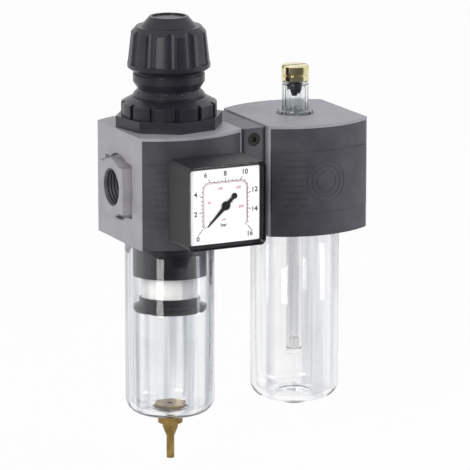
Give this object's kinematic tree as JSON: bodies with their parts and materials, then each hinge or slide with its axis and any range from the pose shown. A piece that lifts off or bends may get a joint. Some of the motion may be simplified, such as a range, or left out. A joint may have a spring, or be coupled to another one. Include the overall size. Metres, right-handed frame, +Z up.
{
  "type": "filter regulator lubricator",
  "caption": "Compressed air service unit: filter regulator with gauge, knob and clear bowl, joined to a mist lubricator with clear bowl and sight dome; threaded ports at both ends.",
  "frame": {"origin": "on the axis of the inlet port, where its thread begins", "axes": "+X runs with the air from inlet to outlet, +Y to the rear, +Z up"},
  "size_m": [0.1437, 0.1071, 0.2432],
  "materials": {
    "aluminium": "turned",
    "black_plastic": "fine matt moulding",
    "brass": "turned",
    "clear_plastic": "clear polycarbonate",
    "dark_plastic": "satin moulding",
    "dial_white": "printed",
    "painted_casting": "satin silver-grey paint",
    "rubber": "nitrile",
    "spring_steel": "drawn wire",
    "steel": "zinc plated",
    "white_filter": "sintered element"
  },
  "bodies": {
    "frame": {"bonnet": "dark_plastic", "bourdon_tube": "brass", "check_ball": "steel", "coupling_front_clamp": "dark_plastic", "coupling_rear_clamp": "dark_plastic", "coupling_screws": "steel", "coupling_seals": "rubber", "coupling_spacer": "aluminium", "deflector": "dark_plastic", "dome_ring": "dark_plastic", "dome_seal": "rubber", "drip_nozzle": "brass", "filter_baffle": "dark_plastic", "filter_bolt": "steel", "filter_element": "white_filter", "filter_regulator_body": "painted_casting", "gauge_bezel": "dark_plastic", "gauge_case": "dark_plastic", "gauge_dial": "dial_white", "gauge_movement": "brass", "gauge_socket": "brass", "gauge_window": "clear_plastic", "lubricator_body": "painted_casting", "lubricator_front_cover": "black_plastic", "lubricator_rear_cover": "black_plastic", "main_spring": "spring_steel", "oil_riser": "aluminium", "panel_nut": "dark_plastic", "regulator_front_cover": "black_plastic", "regulator_rear_cover": "black_plastic", "sight_dome": "clear_plastic", "siphon_adapter": "dark_plastic", "siphon_strainer": "brass", "siphon_tube": "clear_plastic", "valve_guide": "brass", "valve_seat": "brass", "valve_spring": "spring_steel", "venturi_ring": "aluminium"},
    "spindle": {"adjusting_spindle": "steel"},
    "knob": {"adjusting_knob": "dark_plastic", "knob_cap": "dark_plastic"},
    "spring_seat": {"spring_seat": "brass"},
    "piston": {"regulating_piston": "aluminium", "piston_seal": "rubber"},
    "poppet": {"valve_poppet": "brass"},
    "filter_bowl_ring": {"filter_bowl_seal": "rubber"},
    "filter_bowl": {"filter_bowl": "clear_plastic", "drain_fitting": "brass"},
    "drain_ring": {"drain_seal": "rubber"},
    "drain": {"drain_stem": "brass"},
    "lubricator_bowl_ring": {"lubricator_bowl_seal": "rubber"},
    "lubricator_bowl": {"lubricator_bowl": "clear_plastic"},
    "metering_ring": {"metering_seal": "rubber"},
    "metering": {"metering_screw": "brass"},
    "pointer": {"gauge_pointer": "black_plastic", "gauge_arbor": "brass"},
    "sector": {"gauge_sector": "brass"}
  },
  "joints": [
    {"name": "spindle_turn", "type": "hinge", "parent": "frame", "child": "spindle", "pos_m": [0.03309, 0, 0.0309], "axis": [0, 0, 1], "range_deg": [-2160, 0]},
    {"name": "knob_lift", "type": "slide", "parent": "spindle", "child": "knob", "axis": [0, 0, 1], "range_m": [-0.0013, 0]},
    {"name": "spring_seat_travel", "type": "slide", "parent": "frame", "child": "spring_seat", "axis": [0, 0, 1], "range_m": [-0.009, 0], "deforming": ["main_spring"]},
    {"name": "piston_travel", "type": "slide", "parent": "frame", "child": "piston", "axis": [0, 0, 1], "range_m": [-0.0015, 0], "stiffness_N_per_m": 200, "springref_m": 0.002},
    {"name": "poppet_travel", "type": "slide", "parent": "frame", "child": "poppet", "axis": [0, 0, 1], "range_m": [-0.0015, 0], "stiffness_N_per_m": 5, "springref_m": 0.0125, "deforming": ["valve_spring"]},
    {"name": "filter_bowl_drop", "type": "slide", "parent": "frame", "child": "filter_bowl_ring", "axis": [0, 0, 1], "range_m": [-0.009, 0]},
    {"name": "filter_bowl_turn", "type": "hinge", "parent": "filter_bowl_ring", "child": "filter_bowl", "pos_m": [0.03309, 0, -0.0295], "axis": [0, 0, 1], "range_deg": [-1080, 0]},
    {"name": "drain_drop", "type": "slide", "parent": "filter_bowl", "child": "drain_ring", "axis": [0, 0, 1], "range_m": [-0.002, 0]},
    {"name": "drain_turn", "type": "hinge", "parent": "drain_ring", "child": "drain", "pos_m": [0.03309, 0, -0.129], "axis": [0, 0, 1], "range_deg": [-720, 0]},
    {"name": "lubricator_bowl_drop", "type": "slide", "parent": "frame", "child": "lubricator_bowl_ring", "axis": [0, 0, 1], "range_m": [-0.009, 0]},
    {"name": "lubricator_bowl_turn", "type": "hinge", "parent": "lubricator_bowl_ring", "child": "lubricator_bowl", "pos_m": [0.10829, 0, -0.0295], "axis": [0, 0, 1], "range_deg": [-1080, 0]},
    {"name": "metering_lift", "type": "slide", "parent": "frame", "child": "metering_ring", "axis": [0, 0, 1], "range_m": [0, 0.0015]},
    {"name": "metering_turn", "type": "hinge", "parent": "metering_ring", "child": "metering", "pos_m": [0.10829, 0, 0.0309], "axis": [0, 0, 1], "range_deg": [0, 720]},
    {"name": "pointer_turn", "type": "hinge", "parent": "frame", "child": "pointer", "pos_m": [0.03409, -0.06, 0], "axis": [0, 1, 0], "range_deg": [0, 270], "stiffness_Nm_per_rad": 0.000001, "springref_deg": -114.59},
    {"name": "sector_turn", "type": "hinge", "parent": "frame", "child": "sector", "pos_m": [0.03409, -0.06, -0.014], "axis": [0, 1, 0], "range_deg": [-45, 0]}
  ],
  "couplings": [
    {"joint": "spindle_turn", "follows": "spring_seat_travel", "rad_per_m": 4188.8},
    {"joint": "poppet_travel", "follows": "piston_travel", "ratio": 1},
    {"joint": "filter_bowl_turn", "follows": "filter_bowl_drop", "rad_per_m": 2094.4},
    {"joint": "drain_turn", "follows": "drain_drop", "rad_per_m": 6283.2},
    {"joint": "lubricator_bowl_turn", "follows": "lubricator_bowl_drop", "rad_per_m": 2094.4},
    {"joint": "metering_turn", "follows": "metering_lift", "rad_per_m": 8377.6},
    {"joint": "pointer_turn", "follows": "sector_turn", "ratio": -6}
  ]
}
